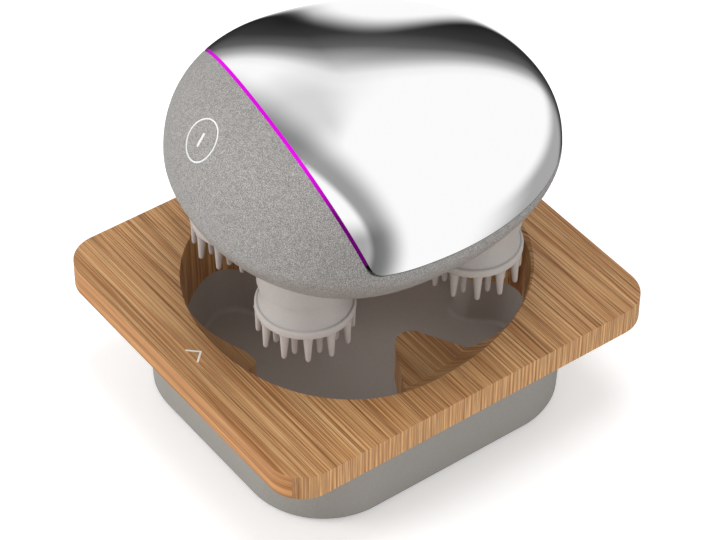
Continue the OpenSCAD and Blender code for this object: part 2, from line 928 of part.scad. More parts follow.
module gear_2d(teeth) {
  root = pitch_r(teeth) - dedendum;
  steps = 4;
  flank = [for (i = [0:steps]) root + (addendum + dedendum) * i / steps];
  polygon([
    for (k = [0:teeth - 1], side = [-1, 1], i = [0:steps])
      let (r = flank[side < 0 ? i : steps - i])
      polar(r, k * 360 / teeth + side * half_tooth(teeth, r))
  ]);
}

// Turn that sets an output gear's gap against the drive gear's tooth
function mesh_turn(p) =
  let (towards = atan2(p.y, p.x) + 360)
  towards + 180 + (towards % (360 / drive_teeth)) * drive_teeth / output_teeth + 180 / output_teeth;

drive_hub_h = 0.5;
output_hub_h = 1;

module gear(teeth, turn, hub_r, hub_h, bore) {
  difference() {
    union() {
      linear_extrude(gear_t)
        rotate([0, 0, turn])
          gear_2d(teeth);
      translate([0, 0, -hub_h])
        cylinder(r = hub_r, h = gear_t + hub_h, $fn = fine);
    }
    translate([0, 0, -hub_h - 1])
      cylinder(r = bore, h = gear_t + hub_h + 2, $fn = fine);
  }
}

module drive_gear() {
  color("ivory")
    carried()
      translate([0, 0, gear_z])
        gear(drive_teeth, 0, 2 * drive_shaft_r, drive_hub_h, drive_shaft_r);
}

module on_head(n) {
  carried()
    translate([HEADS[n - 1].x, HEADS[n - 1].y, 0])
      children();
}

module output_gear(n) {
  color("ivory")
    on_head(n)
      translate([0, 0, gear_z])
        gear(output_teeth, mesh_turn(HEADS[n - 1]), 2 * spindle_r, output_hub_h, spindle_r);
}

spindle_foot_z = rim_z - spindle_cover;

module spindle(n) {
  color("silver")
    on_head(n) {
      translate([0, 0, -spindle_foot_z])
        cylinder(r = spindle_r, h = spindle_foot_z + plate_top_z - thrust_gap, $fn = fine);
      translate([0, 0, thrust_gap - bush_top_z])
        cylinder(r = thrust_r, h = thrust_t, $fn = fine);
    }
}

// The drum's lower part, which flares out to the rim in a hollow curve
module flare() {
  steps = 6;
  function flare_at(i) = drum_r + (flare_r - drum_r) * (1 - sqrt(1 - pow(1 - i / steps, 2)));
  for (i = [0:steps - 1])
    translate([0, 0, flare_h * i / steps])
      cylinder(r1 = flare_at(i), r2 = flare_at(i + 1), h = flare_h / steps, $fn = smooth);
}

module head_hub(n) {
  color("darkgray")
    on_head(n)
      difference() {
        translate([0, 0, -rim_z]) {
          cylinder(r = drum_r, h = rim_z - belly_z - drum_top_gap, $fn = smooth);
          flare();
          translate([0, 0, -spigot_h])
            cylinder(r = spigot_r, h = spigot_h + eps, $fn = fine);
        }
        translate([0, 0, -spindle_foot_z])
          cylinder(r = spindle_r, h = spindle_foot_z, $fn = fine);
      }
}

// A round-tipped tine that hangs down from its root
module tine(length, r) {
  straight = length - tine_tip_r;
  translate([0, 0, -straight]) {
    cylinder(r1 = tine_tip_r, r2 = r, h = straight, $fn = 24);
    sphere(r = tine_tip_r, $fn = 24);
  }
}

// The rim, with its two edges broken
module rim() {
  cylinder(r1 = rim_r - rim_round, r2 = rim_r, h = rim_round, $fn = smooth);
  translate([0, 0, rim_round])
    cylinder(r = rim_r, h = rim_t - 2 * rim_round, $fn = smooth);
  translate([0, 0, rim_t - rim_round])
    cylinder(r1 = rim_r, r2 = rim_r - rim_round, h = rim_round, $fn = smooth);
}

// The soft pad of a head: its rim, tines round its edge, an inner circle of them and one in the middle
module tine_pad(n) {
  buried = 0.6;
  root_z = buried - rim_t;
  edge = 0.05;
  inner_root_r = tine_root_r * inner_root_share;
  color("gray")
    on_head(n)
      translate([0, 0, -rim_z]) {
        difference() {
          translate([0, 0, -rim_t])
            rim();
          translate([0, 0, -spigot_h])
            cylinder(r = spigot_r, h = spigot_h + 1, $fn = fine);
        }
        for (k = [0:outer_tines - 1])
          rotate([0, 0, tine_turn + k * 360 / outer_tines])
            translate([rim_r - tine_root_r - edge, 0, root_z])
              tine(outer_tip_z + root_z, tine_root_r);
        for (k = [0:inner_tines - 1])
          rotate([0, 0, tine_turn + (k + 0.5) * 360 / inner_tines])
            translate([inner_ring_r, 0, root_z])
              tine(inner_tip_z + root_z, inner_root_r);
        translate([0, 0, root_z])
          tine(inner_tip_z + root_z, inner_root_r);
      }
}

// Power and controls

module battery_tray() {
  color("dimgray")
    carried()
      translate([-pack_w / 2 - tray_wall, pack_y - tray_wall, plate_top_z])
        difference() {
          cube([pack_w + 2 * tray_wall, pack_l + 2 * tray_wall, tray_h]);
          translate([tray_wall, tray_wall, tray_wall])
            cube([pack_w, pack_l, tray_h]);
          translate([pack_w / 2 + tray_wall, back_post_y - pack_y + tray_wall, -1])
            cylinder(r = screw_head_r + screw_gap, h = tray_wall + 2, $fn = fine);
        }
}

module battery_pack() {
  color("royalblue")
    carried()
      translate([-pack_w / 2, pack_y, plate_top_z + tray_wall])
        cube([pack_w, pack_l, pack_h]);
}

// A board with its chip, a second chip, the motor's driver and two small parts
module control_board() {
  parts = [[-14, 3, 8, 8, 1.4], [-2, 4, 5, 5, 1], [8, 3, 9, 6, 3.4], [-10, 12, 3, 3, 3], [2, 12, 6, 3, 1]];
  color("seagreen")
    carried()
      translate([0, -board_y, plate_top_z]) {
        translate([-board_w / 2, 0, 0])
          cube([board_w, board_l, board_t]);
        for (p = parts)
          translate([p[0], p[1], board_t - eps])
            cube([p[2], p[3], p[4]]);
      }
}

// The charge socket's outline, run forward from its mouth by depth and drawn out by grow
module charge_slot(grow, depth) {
  r = socket_h / 2 + grow;
  reach = (socket_w - socket_h) / 2;
  translate([0, socket_y + depth - socket_l, -socket_z])
    rotate([90, 0, 0])
      linear_extrude(depth) {
        square([2 * reach, 2 * r], center = true);
        for (side = [-1, 1])
          translate([side * reach, 0])
            circle(r, $fn = fine);
      }
}

module charge_socket() {
  back_wall = 1;
  color("silver")
    carried()
      difference() {
        charge_slot(0, socket_l);
        translate([0, back_wall, 0])
          charge_slot(-socket_wall, socket_l);
      }
}

// The button stands square to the shell's front, at the place where the front is button_z high
button_k = spread(button_z);
button_y = ring_point(270, button_k).y;
rise_slope = pow(button_z / shell_top, top_round - 1) / shell_top;
run_slope = pow(button_k, top_round - 1) / shell_front;
button_tilt = atan(rise_slope / run_slope);
button_bore = button_r + button_gap;

// Draws along the button's axis from height z, with zero at the shell's surface and +Z outwards
module on_button(z) {
  translate([button_x, button_y, button_z])
    rotate([90 - button_tilt, 0, 0])
      translate([0, 0, z])
        children();
}

// The tube that guides the button, before it is bored
module button_tube() {
  intersection() {
    on_button(-boss_depth)
      cylinder(r = button_bore + boss_wall, h = 2 * boss_depth, $fn = smooth);
    egg(shell_wall / 2);
  }
}

module button_hole() {
  on_button(-boss_depth - 1)
    cylinder(r = button_bore, h = big, $fn = smooth);
  on_button(-ring_depth)
    cylinder(r = button_bore + ring_w, h = big, $fn = smooth);
}

module button_ring() {
  color("white")
    carried()
      intersection() {
        on_button(-ring_depth)
          difference() {
            cylinder(r = button_bore + ring_w, h = boss_depth, $fn = smooth);
            translate([0, 0, -1])
              cylinder(r = button_bore, h = big, $fn = smooth);
          }
        egg();
      }
}

module mark_bar() {
  on_button(-mark_depth)
    rotate([0, 0, mark_turn])
      translate([-mark_w / 2, -mark_l / 2, 0])
        cube([mark_w, mark_l, boss_depth]);
}

module button_mark() {
  color("white")
    carried()
      intersection() {
        mark_bar();
        egg();
      }
}

module button_cap() {
  stem_bottom = switch_h + plunger_h + plunger_gap - boss_depth;
  color("darkgray")
    carried()
      difference() {
        union() {
          intersection() {
            on_button(-cap_t)
              cylinder(r = button_r, h = boss_depth, $fn = smooth);
            egg();
          }
          on_button(stem_bottom)
            cylinder(r = stem_r, h = eps - cap_t - stem_bottom, $fn = fine);
        }
        mark_bar();
      }
}

module button_seal() {
  inner_r = switch_w * 0.75;
  color("black")
    carried()
      on_button(-boss_depth)
        difference() {
          cylinder(r = button_bore, h = button_seal_t, $fn = smooth);
          translate([0, 0, -1])
            cylinder(r = inner_r, h = button_seal_t + 2, $fn = fine);
        }
}

module switch_board() {
  color("seagreen")
    carried()
      on_button(-boss_depth - board_t)
        cylinder(r = button_bore + boss_wall, h = board_t, $fn = smooth);
}

module tact_switch() {
  well_h = button_travel + 0.4;
  color("dimgray")
    carried()
      on_button(-boss_depth)
        difference() {
          translate([-switch_w / 2, -switch_w / 2, 0])
            cube([switch_w, switch_w, switch_h]);
          translate([0, 0, switch_h - well_h])
            cylinder(r = plunger_r + plunger_gap, h = well_h + 1, $fn = fine);
        }
}

module switch_plunger() {
  sunk = 0.1;
  color("black")
    carried()
      on_button(switch_h - boss_depth - sunk)
        cylinder(r = plunger_r, h = plunger_h + sunk, $fn = fine);
}

bamboo_deck();
arrow_inlay();
base_shell();
well_liner();
deck_screws();
base_feet();
chrome_cover();
casing();
light_guide();
led_board();
bottom_cover();
cover_screws();
gear_plate();
plate_screws();
lower_bushes();
upper_bushes();
spindle_seals();
motor();
reducer();
battery_pack();
battery_tray();
control_board();
charge_socket();
switch_board();
tact_switch();
button_ring();
button_seal();
drive_gear();
drive_shaft();
head_hub(1);  // head_hub_1
head_hub(2);  // head_hub_2
head_hub(3);  // head_hub_3
head_hub(4);  // head_hub_4
tine_pad(1);  // tine_pad_1
tine_pad(2);  // tine_pad_2
tine_pad(3);  // tine_pad_3
tine_pad(4);  // tine_pad_4
spindle(1);  // spindle_1
spindle(2);  // spindle_2
spindle(3);  // spindle_3
spindle(4);  // spindle_4
output_gear(1);  // output_gear_1
output_gear(2);  // output_gear_2
output_gear(3);  // output_gear_3
output_gear(4);  // output_gear_4
button_cap();
button_mark();
switch_plunger();
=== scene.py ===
import math

import bmesh
import bpy
from mathutils import Matrix, Vector


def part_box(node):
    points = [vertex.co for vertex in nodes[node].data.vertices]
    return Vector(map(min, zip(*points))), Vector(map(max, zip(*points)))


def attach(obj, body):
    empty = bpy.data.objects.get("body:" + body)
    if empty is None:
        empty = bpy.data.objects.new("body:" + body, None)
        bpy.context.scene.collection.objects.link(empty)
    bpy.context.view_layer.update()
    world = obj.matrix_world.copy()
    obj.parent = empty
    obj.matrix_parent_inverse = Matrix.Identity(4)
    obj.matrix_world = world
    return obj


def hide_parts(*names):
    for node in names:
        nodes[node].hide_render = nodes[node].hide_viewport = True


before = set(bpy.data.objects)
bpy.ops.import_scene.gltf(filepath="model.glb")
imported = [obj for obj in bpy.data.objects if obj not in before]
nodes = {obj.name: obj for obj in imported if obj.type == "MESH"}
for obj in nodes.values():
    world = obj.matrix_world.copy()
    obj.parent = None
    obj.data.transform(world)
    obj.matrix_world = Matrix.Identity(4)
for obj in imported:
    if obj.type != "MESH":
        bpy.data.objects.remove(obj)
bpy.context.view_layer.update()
mm = 0.001


# Camera, in metres and degrees

camera = {
    "place": (0.52866, -0.39789, 0.65890),
    "look": (-0.58530, 0.44150, -0.68008),
    "roll": 0.62,
    "lens": 151.71,
}


def addCamera(setup):
    look = Vector(setup["look"]).normalized()
    level = look.cross(Vector((0, 0, 1))).normalized()
    roll = Matrix.Rotation(math.radians(-setup["roll"]), 3, look)
    side = roll @ level
    up = side.cross(look)
    data = bpy.data.cameras.new("camera")
    data.lens = setup["lens"]
    data.clip_start = 0.01
    piece = bpy.data.objects.new("camera", data)
    piece.matrix_world = Matrix((side, up, -look)).transposed().to_4x4()
    piece.matrix_world.translation = Vector(setup["place"])
    bpy.context.scene.collection.objects.link(piece)
    bpy.context.scene.camera = piece


addCamera(camera)
print("camera set")


# Making pieces

def millimetres(work):
    bmesh.ops.scale(work, vec=(mm, mm, mm), verts=work.verts)


def shadeSmooth(mesh, sharpAngle):
    mesh.shade_smooth()
    mesh.set_sharp_from_angle(angle=math.radians(sharpAngle))


def makePiece(name, work, sharpAngle=35):
    mesh = bpy.data.meshes.new(name)
    work.to_mesh(mesh)
    work.free()
    shadeSmooth(mesh, sharpAngle)
    piece = bpy.data.objects.new(name, mesh)
    bpy.context.scene.collection.objects.link(piece)
    return piece


def applyChanges(piece):
    bpy.context.view_layer.update()
    graph = bpy.context.evaluated_depsgraph_get()
    mesh = bpy.data.meshes.new_from_object(piece.evaluated_get(graph))
    mesh.name = piece.name
    piece.modifiers.clear()
    piece.data = mesh


def carve(piece, tool, how="DIFFERENCE"):
    change = piece.modifiers.new("carve", "BOOLEAN")
    change.object = tool
    change.operation = how
    change.solver = "EXACT"
    applyChanges(piece)
    bpy.data.objects.remove(tool)


def softEdges(piece, width, segments=3, angle=40):
    change = piece.modifiers.new("soft edges", "BEVEL")
    change.width = width * mm
    change.segments = segments
    change.limit_method = "ANGLE"
    change.angle_limit = math.radians(angle)
    change.harden_normals = True
    change.use_clamp_overlap = True


def giveWall(piece, thickness):
    change = piece.modifiers.new("wall", "SOLIDIFY")
    change.thickness = thickness * mm
    change.offset = -1


def dress(piece, body, slot, material, *standsFor):
    piece.data.materials.clear()
    piece.data.materials.append(material)
    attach(piece, body)
    if standsFor:
        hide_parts(*standsFor)


def finishNodes(material, *names):
    for name in names:
        slots = nodes[name].data.materials
        slots.clear()
        slots.append(material)


def mergedCopy(nodeName):
    work = bmesh.new()
    work.from_mesh(nodes[nodeName].data)
    bmesh.ops.remove_doubles(work, verts=work.verts, dist=0.002 * mm)
    bmesh.ops.dissolve_limit(work, angle_limit=math.radians(0.3), verts=work.verts, edges=work.edges)
    return work


# A shape turned round an upright axis, from pairs of radius and height in millimetres
def turn(work, profile, steps, centre=(0, 0)):
    verts = [work.verts.new((centre[0] + r, centre[1], z)) for r, z in profile]
    edges = [work.edges.new(pair) for pair in zip(verts, verts[1:])]
    bmesh.ops.spin(
        work,
        geom=verts + edges,
        cent=(centre[0], centre[1], 0),
        axis=(0, 0, 1),
        angle=2 * math.pi,
        steps=steps,
        use_merge=True,
    )


def closeUp(work, distance=0.001):
    bmesh.ops.remove_doubles(work, verts=work.verts, dist=distance)
    bmesh.ops.recalc_face_normals(work, faces=work.faces)


# Finishes

def colour(red, green, blue):
    return tuple(c / 12.92 if c <= 0.04045 else ((c + 0.055) / 1.055) ** 2.4
                 for c in (red / 255, green / 255, blue / 255)) + (1,)


class Finish:
    def __init__(self, name, **sockets):
        self.material = bpy.data.materials.new(name)
        self.material.use_nodes = True
        self.tree = self.material.node_tree
        self.shader = self.tree.nodes["Principled BSDF"]
        for socket, value in sockets.items():
            self.shader.inputs[socket.replace("_", " ")].default_value = value

    def node(self, kind, **inputs):
        made = self.tree.nodes.new("ShaderNode" + kind)
        for socket, value in inputs.items():
            self.feed(made.inputs[socket.replace("_", " ")], value)
        return made

    def feed(self, socket, value):
        if isinstance(value, bpy.types.NodeSocket):
            self.tree.links.new(value, socket)
        else:
            socket.default_value = value

    def math(self, operation, *values):
        made = self.tree.nodes.new("ShaderNodeMath")
        made.operation = operation
        for socket, value in zip(made.inputs, values):
            self.feed(socket, value)
        return made.outputs[0]

    # Object coordinates in millimetres, stretched by stretch
    def place(self, stretch=(1, 1, 1), shift=(0, 0, 0)):
        made = self.node("Mapping", Vector=self.node("TexCoord").outputs["Object"])
        made.inputs["Scale"].default_value = [1 / (mm * s) for s in stretch]
        made.inputs["Location"].default_value = shift
        return made.outputs[0]

    def noise(self, place, detail=2, roughness=0.5):
        made = self.node("TexNoise", Vector=place, Scale=1.0, Detail=detail, Roughness=roughness)
        return made.outputs["Fac"]

    def ramp(self, value, *stops):
        made = self.node("ValToRGB", Fac=value)
        points = made.color_ramp.elements
        while len(points) < len(stops):
            points.new(0.5)
        for point, (at, shade) in zip(points, stops):
            point.position = at
            point.color = shade if isinstance(shade, tuple) else (shade, shade, shade, 1)
        return made.outputs[0]

    def mix(self, share, low, high, how="MIX"):
        made = self.tree.nodes.new("ShaderNodeMix")
        made.data_type = "RGBA"
        made.blend_type = how
        for socket, value in ((made.inputs[0], share), (made.inputs[6], low), (made.inputs[7], high)):
            self.feed(socket, value)
        return made.outputs[2]

    def relief(self, height, distance, strength=1.0):
        made = self.node("Bump", Height=height, Distance=distance * mm, Strength=strength)
        self.feed(self.shader.inputs["Normal"], made.outputs[0])

    def set(self, socket, value):
        self.feed(self.shader.inputs[socket], value)


def plainFinish(name, low, high, grain, roughness, bump, **sockets):
    made = Finish(name, Roughness=roughness, **sockets)
    spots = made.noise(made.place((grain, grain, grain)), detail=3)
    made.set("Base Color", made.ramp(spots, (0.3, colour(*low)), (0.7, colour(*high))))
    made.relief(spots, bump)
    return made.material


bamboo = {
    "pale": (214, 172, 122),
    "tan": (194, 147, 98),
    "brown": (162, 108, 62),
    "dark": (104, 64, 32),
    "endPale": (236, 184, 126),
    "endDark": (168, 112, 64),
    "strip": 5.5,
}
bambooFlank = {
    "pale": (228, 176, 116),
    "tan": (208, 150, 90),
    "brown": (176, 114, 58),
    "layer": 1.9,
}


# Strips run along X and lie side by side along Y, so their ends show on the X sides
def bambooTop(setup):
    made = Finish("bambooTop", Roughness=0.42, Specular_IOR_Level=0.3)
    y = made.node("SeparateXYZ", Vector=made.place()).outputs["Y"]
    bow = made.noise(made.place((60, 25, 40)), detail=1)
    across = made.math("DIVIDE", y, setup["strip"])
    strip = made.math("FLOOR", made.math("ADD", across, made.math("MULTIPLY", bow, 0.25)))
    tint = made.tree.nodes.new("ShaderNodeTexWhiteNoise")
    tint.noise_dimensions = "1D"
    made.feed(tint.inputs["W"], strip)
    streak = made.noise(made.place((60, 0.7, 40)), detail=4, roughness=0.62)
    fibre = made.noise(made.place((30, 0.22, 9), (3, 1, 2)), detail=3, roughness=0.6)
    dash = made.noise(made.place((42, 0.24, 12), (9, 4, 7)), detail=2, roughness=0.55)
    brown, tan, pale, dark = (colour(*setup[tone]) for tone in ("brown", "tan", "pale", "dark"))
    wood = made.ramp(streak, (0.38, brown), (0.5, tan), (0.62, pale))
    stripTint = made.ramp(
        tint.outputs["Value"], (0, (0.62, 0.52, 0.44, 1)), (0.5, (0.86, 0.82, 0.78, 1)), (1, (1, 1, 1, 1)))
    tinted = made.mix(0.55, wood, stripTint, "MULTIPLY")
    lines = made.ramp(dash, (0.55, 0.0), (0.62, 0.75))
    along = made.mix(lines, tinted, dark)
    ends = made.ramp(streak, (0.38, colour(*setup["endDark"])), (0.5, tan), (0.6, colour(*setup["endPale"])))
    facing = made.node("SeparateXYZ", Vector=made.node("NewGeometry").outputs["Normal"]).outputs["X"]
    toSide = made.ramp(made.math("ABSOLUTE", facing), (0.75, 0.0), (0.92, 1.0))
    made.set("Base Color", made.mix(toSide, along, ends))
    made.set("Roughness", made.ramp(fibre, (0.2, 0.36), (0.8, 0.5)))
    made.relief(made.math("SUBTRACT", fibre, made.math("MULTIPLY", lines, 0.7)), 0.05)
    return made.material


# The Y sides show the flat of the outermost strip, with its layers one above the other
def bambooSide(setup):
    made = Finish("bambooSide", Roughness=0.42, Specular_IOR_Level=0.3)
    z = made.node("SeparateXYZ", Vector=made.place()).outputs["Z"]
    wave = made.noise(made.place((70, 30, 6)), detail=1)
    upward = made.math("DIVIDE", z, setup["layer"])
    layer = made.math("FLOOR", made.math("ADD", upward, made.math("MULTIPLY", wave, 0.4)))
    tint = made.tree.nodes.new("ShaderNodeTexWhiteNoise")
    tint.noise_dimensions = "1D"
    made.feed(tint.inputs["W"], layer)
    streak = made.noise(made.place((34, 20, 0.5)), detail=4, roughness=0.6)
    brown, tan, pale = (colour(*setup[tone]) for tone in ("brown", "tan", "pale"))
    wood = made.ramp(streak, (0.3, brown), (0.5, tan), (0.7, pale))
    shade = made.ramp(tint.outputs["Value"], (0, (0.62, 0.5, 0.4, 1)), (1, (1, 1, 1, 1)))
    made.set("Base Color", made.mix(0.7, wood, shade, "MULTIPLY"))
    made.relief(streak, 0.04)
    return made.material


def speckledFinish():
    made = Finish("speckledPaint", Roughness=0.5, Metallic=0.15)
    grain = made.noise(made.place((0.26, 0.26, 0.26)), detail=3, roughness=0.7)
    cloud = made.noise(made.place((1.4, 1.4, 1.4)), detail=2)
    fine = made.ramp(
        grain, (0.38, colour(88, 85, 83)), (0.5, colour(140, 136, 132)), (0.62, colour(200, 195, 189)))
    made.set("Base Color", made.mix(0.25, fine, made.ramp(cloud, (0.35, 0.3), (0.65, 0.48))))
    made.set("Roughness", made.ramp(grain, (0.3, 0.58), (0.7, 0.36)))
    made.relief(grain, 0.06, 0.8)
    return made.material


def brightFinish():
    made = Finish("brightPlating", Metallic=1.0, Base_Color=(0.96, 0.96, 0.962, 1))
    haze = made.noise(made.place((9, 9, 9)), detail=2)
    made.set("Roughness", made.ramp(haze, (0.3, 0.035), (0.7, 0.06)))
    return made.material


def glowFinish(setup):
    made = Finish("lightLine", Roughness=0.5, Base_Color=(0, 0, 0, 1), Specular_IOR_Level=0.05)
    parts = made.node("SeparateXYZ", Vector=made.place()).outputs
    above = made.math("SUBTRACT", parts["Z"], setup["foot"])
    height = made.math("DIVIDE", above, setup["top"] - setup["foot"])
    glow = made.ramp(
        height, (0.0, colour(92, 0, 96)), (0.46, colour(112, 0, 116)), (0.62, colour(196, 4, 200)),
        (0.76, colour(238, 18, 240)), (0.93, colour(214, 10, 216)), (1.0, colour(120, 0, 124)))
    made.set("Emission Color", glow)
    made.shader.inputs["Emission Strength"].default_value = 1
    return made.material


def metalFinish(name, shade, roughness, grain=(0.15, 6, 6)):
    made = Finish(name, Metallic=1.0, Base_Color=colour(*shade))
    lines = made.noise(made.place(grain), detail=2)
    made.set("Roughness", made.ramp(lines, (0.3, roughness - 0.08), (0.7, roughness + 0.1)))
    made.relief(lines, 0.01)
    return made.material


finishes = {
    "bambooTop": bambooTop(bamboo),
    "bambooSide": bambooSide(bambooFlank),
    "base": plainFinish("basePlastic", (152, 148, 142), (158, 154, 148), 0.8, 0.55, 0.02),
    # Painted light: the cup's grey is lighter than the liner's own grey, standing in for the light that the
    # massager above keeps out of the well.
    "cup": plainFinish("cupPlasticPaintedLight", (178, 169, 163), (183, 174, 168), 0.9, 0.5, 0.02),
    "rubber": plainFinish("footRubber", (20, 20, 21), (32, 31, 31), 0.5, 0.8, 0.05),
    "inlay": plainFinish("paleInlay", (228, 222, 208), (238, 233, 222), 0.6, 0.5, 0.02),
    "speckled": speckledFinish(),
    "bright": brightFinish(),
    "cover": plainFinish("coverPlastic", (176, 170, 166), (182, 176, 172), 0.7, 0.5, 0.02),
    "head": plainFinish("headPlastic", (180, 174, 170), (185, 179, 175), 0.7, 0.45, 0.015),
    "tine": plainFinish("tineRubber", (188, 181, 176), (195, 188, 183), 0.5, 0.6, 0.03),
    "print": plainFinish("whitePrint", (232, 232, 232), (242, 242, 242), 0.4, 0.45, 0.01),
    "board": plainFinish("circuitBoard", (22, 84, 48), (30, 98, 58), 1.2, 0.35, 0.03),
    "inner": plainFinish("innerPlastic", (60, 60, 62), (70, 70, 72), 1.0, 0.5, 0.02),
    "nylon": plainFinish("gearNylon", (226, 222, 204), (234, 230, 214), 0.8, 0.45, 0.02),
    "wrap": plainFinish("batteryWrap", (36, 74, 148), (44, 86, 162), 4.0, 0.25, 0.03),
    "seal": plainFinish("sealRubber", (26, 26, 27), (36, 36, 36), 0.5, 0.75, 0.03),
    "steel": metalFinish("groundSteel", (186, 188, 190), 0.3),
    "zinc": metalFinish("zincSteel", (196, 196, 194), 0.35, (0.4, 0.4, 0.4)),
    "plate": metalFinish("plateSteel", (160, 163, 166), 0.4),
    "bronze": metalFinish("sinteredBronze", (196, 150, 88), 0.45, (0.3, 0.3, 0.3)),
    "can": metalFinish("motorCan", (190, 190, 186), 0.32, (5, 5, 0.2)),
}

finishNodes(finishes["inlay"], "arrow_inlay")
finishNodes(finishes["rubber"], "base_feet")
finishNodes(finishes["zinc"], "deck_screws", "cover_screws", "plate_screws")
finishNodes(finishes["board"], "led_board", "control_board", "switch_board")
finishNodes(finishes["plate"], "gear_plate")
finishNodes(finishes["bronze"], "lower_bushes", "upper_bushes")
finishNodes(finishes["seal"], "spindle_seals", "button_seal")
finishNodes(finishes["can"], "motor")
finishNodes(finishes["inner"], "reducer", "battery_tray", "tact_switch", "switch_plunger")
finishNodes(finishes["wrap"], "battery_pack")
finishNodes(finishes["steel"], "charge_socket", "drive_shaft", *[f"spindle_{n}" for n in range(1, 5)])
finishNodes(finishes["nylon"], "drive_gear", *[f"output_gear_{n}" for n in range(1, 5)])
print("finishes made")


# Dock, in millimetres

deck = {
    "width": 121, "length": 133, "edge": 8.7, "corner": 11.3, "top": 43.4,
    "block": 23, "blockCorner": 25.0, "blockInset": 2.46, "baseWidth": 99.76, "baseLength": 111.26,
    "narrowing": 0.5, "mouthBack": 54.83, "tongueShift": 1.6, "flatHalf": 27, "flatDepth": 40,
    "seatRise": 9.4, "seatGap": 0.9, "softEdge": 0.4,
}
shell = {
    "halfWidth": 53.4, "front": 47.4, "back": 68.4, "top": 34.9, "bottom": 33.6, "shift": 7.3,
    "plan": 2.1, "upper": 2.2, "lower": 1.56, "belly": 17.5, "wall": 1.8,
    "columns": 240, "rows": 128,
}


def signedPower(value, power):
    return math.copysign(abs(value) ** power, value)


# Takes a point of a ball of radius 1 to the shell, drawn in by inset
def onShell(point, inset):
    turnAngle = math.atan2(point.y, point.x)
    level = math.sqrt(max(0, 1 - point.z ** 2))
    bend = shell["upper"] if point.z > 0 else shell["lower"]
    height = (shell["top"] if point.z > 0 else shell["bottom"]) - inset
    reach = level ** (2 / bend)
    length = (shell["back"] if point.y > 0 else shell["front"]) - inset
    return Vector((
        reach * (shell["halfWidth"] - inset) * signedPower(math.cos(turnAngle), 2 / shell["plan"]),
        reach * length * signedPower(math.sin(turnAngle), 2 / shell["plan"]) - shell["shift"],
        height * signedPower(point.z, 2 / bend),
    ))


def shellForm(inset=0, columns=None, rows=None):
    work = bmesh.new()
    bmesh.ops.create_uvsphere(
        work, u_segments=columns or shell["columns"], v_segments=rows or shell["rows"], radius=1)
    for vert in work.verts:
        vert.co = onShell(vert.co, inset)
    return work


def everything(work):
    return work.verts[:] + work.edges[:] + work.faces[:]


def cutAway(work, point, outward, clear=True):
    return bmesh.ops.bisect_plane(
        work, geom=everything(work), dist=1e-6, plane_co=point, plane_no=outward, clear_outer=clear)


def roundedBlock(width, length, height, corner, segments=16):
    work = bmesh.new()
    bmesh.ops.create_cube(work, size=1)
    bmesh.ops.scale(work, vec=(width, length, height), verts=work.verts)
    upright = [e for e in work.edges if abs(e.verts[0].co.z - e.verts[1].co.z) > height / 2]
    bmesh.ops.bevel(
        work, geom=upright, offset=corner, segments=segments, affect="EDGES", profile=0.5, material=-1)
    return work


# The opening's outline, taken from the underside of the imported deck
def wellOutline():
    work = mergedCopy("bamboo_deck")
    low = min(v.co.z for v in work.verts)
    under = [f for f in work.faces if f.normal.z < -0.9 and all(abs(v.co.z - low) < 1e-5 for v in f.verts)]
    rim = {e for f in under for e in f.edges if sum(g in under for g in e.link_faces) == 1}
    loops = []
    while rim:
        edge = rim.pop()
        start, at = edge.verts
        loop = [start, at]
        while at is not start:
            edge = next(e for e in at.link_edges if e in rim)
            rim.remove(edge)
            at = edge.other_vert(at)
            loop.append(at)
        loops.append([v.co.copy() for v in loop[:-1]])
    loops.sort(key=lambda loop: max(p.x for p in loop) - min(p.x for p in loop))
    work.free()
    return [Vector((p.x / mm, p.y / mm, 0)) for p in loops[-2]]


def wellForm(outline, low, high):
    def size(z):
        return (1 - deck["narrowing"] * (deck["top"] - z) / (deck["block"] * deck["mouthBack"])) / (
            1 - deck["narrowing"] / deck["mouthBack"])
    work = bmesh.new()
    bottom = work.faces.new([work.verts.new((p.x * size(low), p.y * size(low), low)) for p in outline])
    risen = bmesh.ops.extrude_face_region(work, geom=[bottom])["geom"]
    raised = [g for g in risen if isinstance(g, bmesh.types.BMVert)]
    bmesh.ops.scale(work, vec=(size(high) / size(low), size(high) / size(low), 1), verts=raised)
    bmesh.ops.translate(work, vec=(0, 0, high - low), verts=raised)
    bmesh.ops.recalc_face_normals(work, faces=work.faces)
    return work


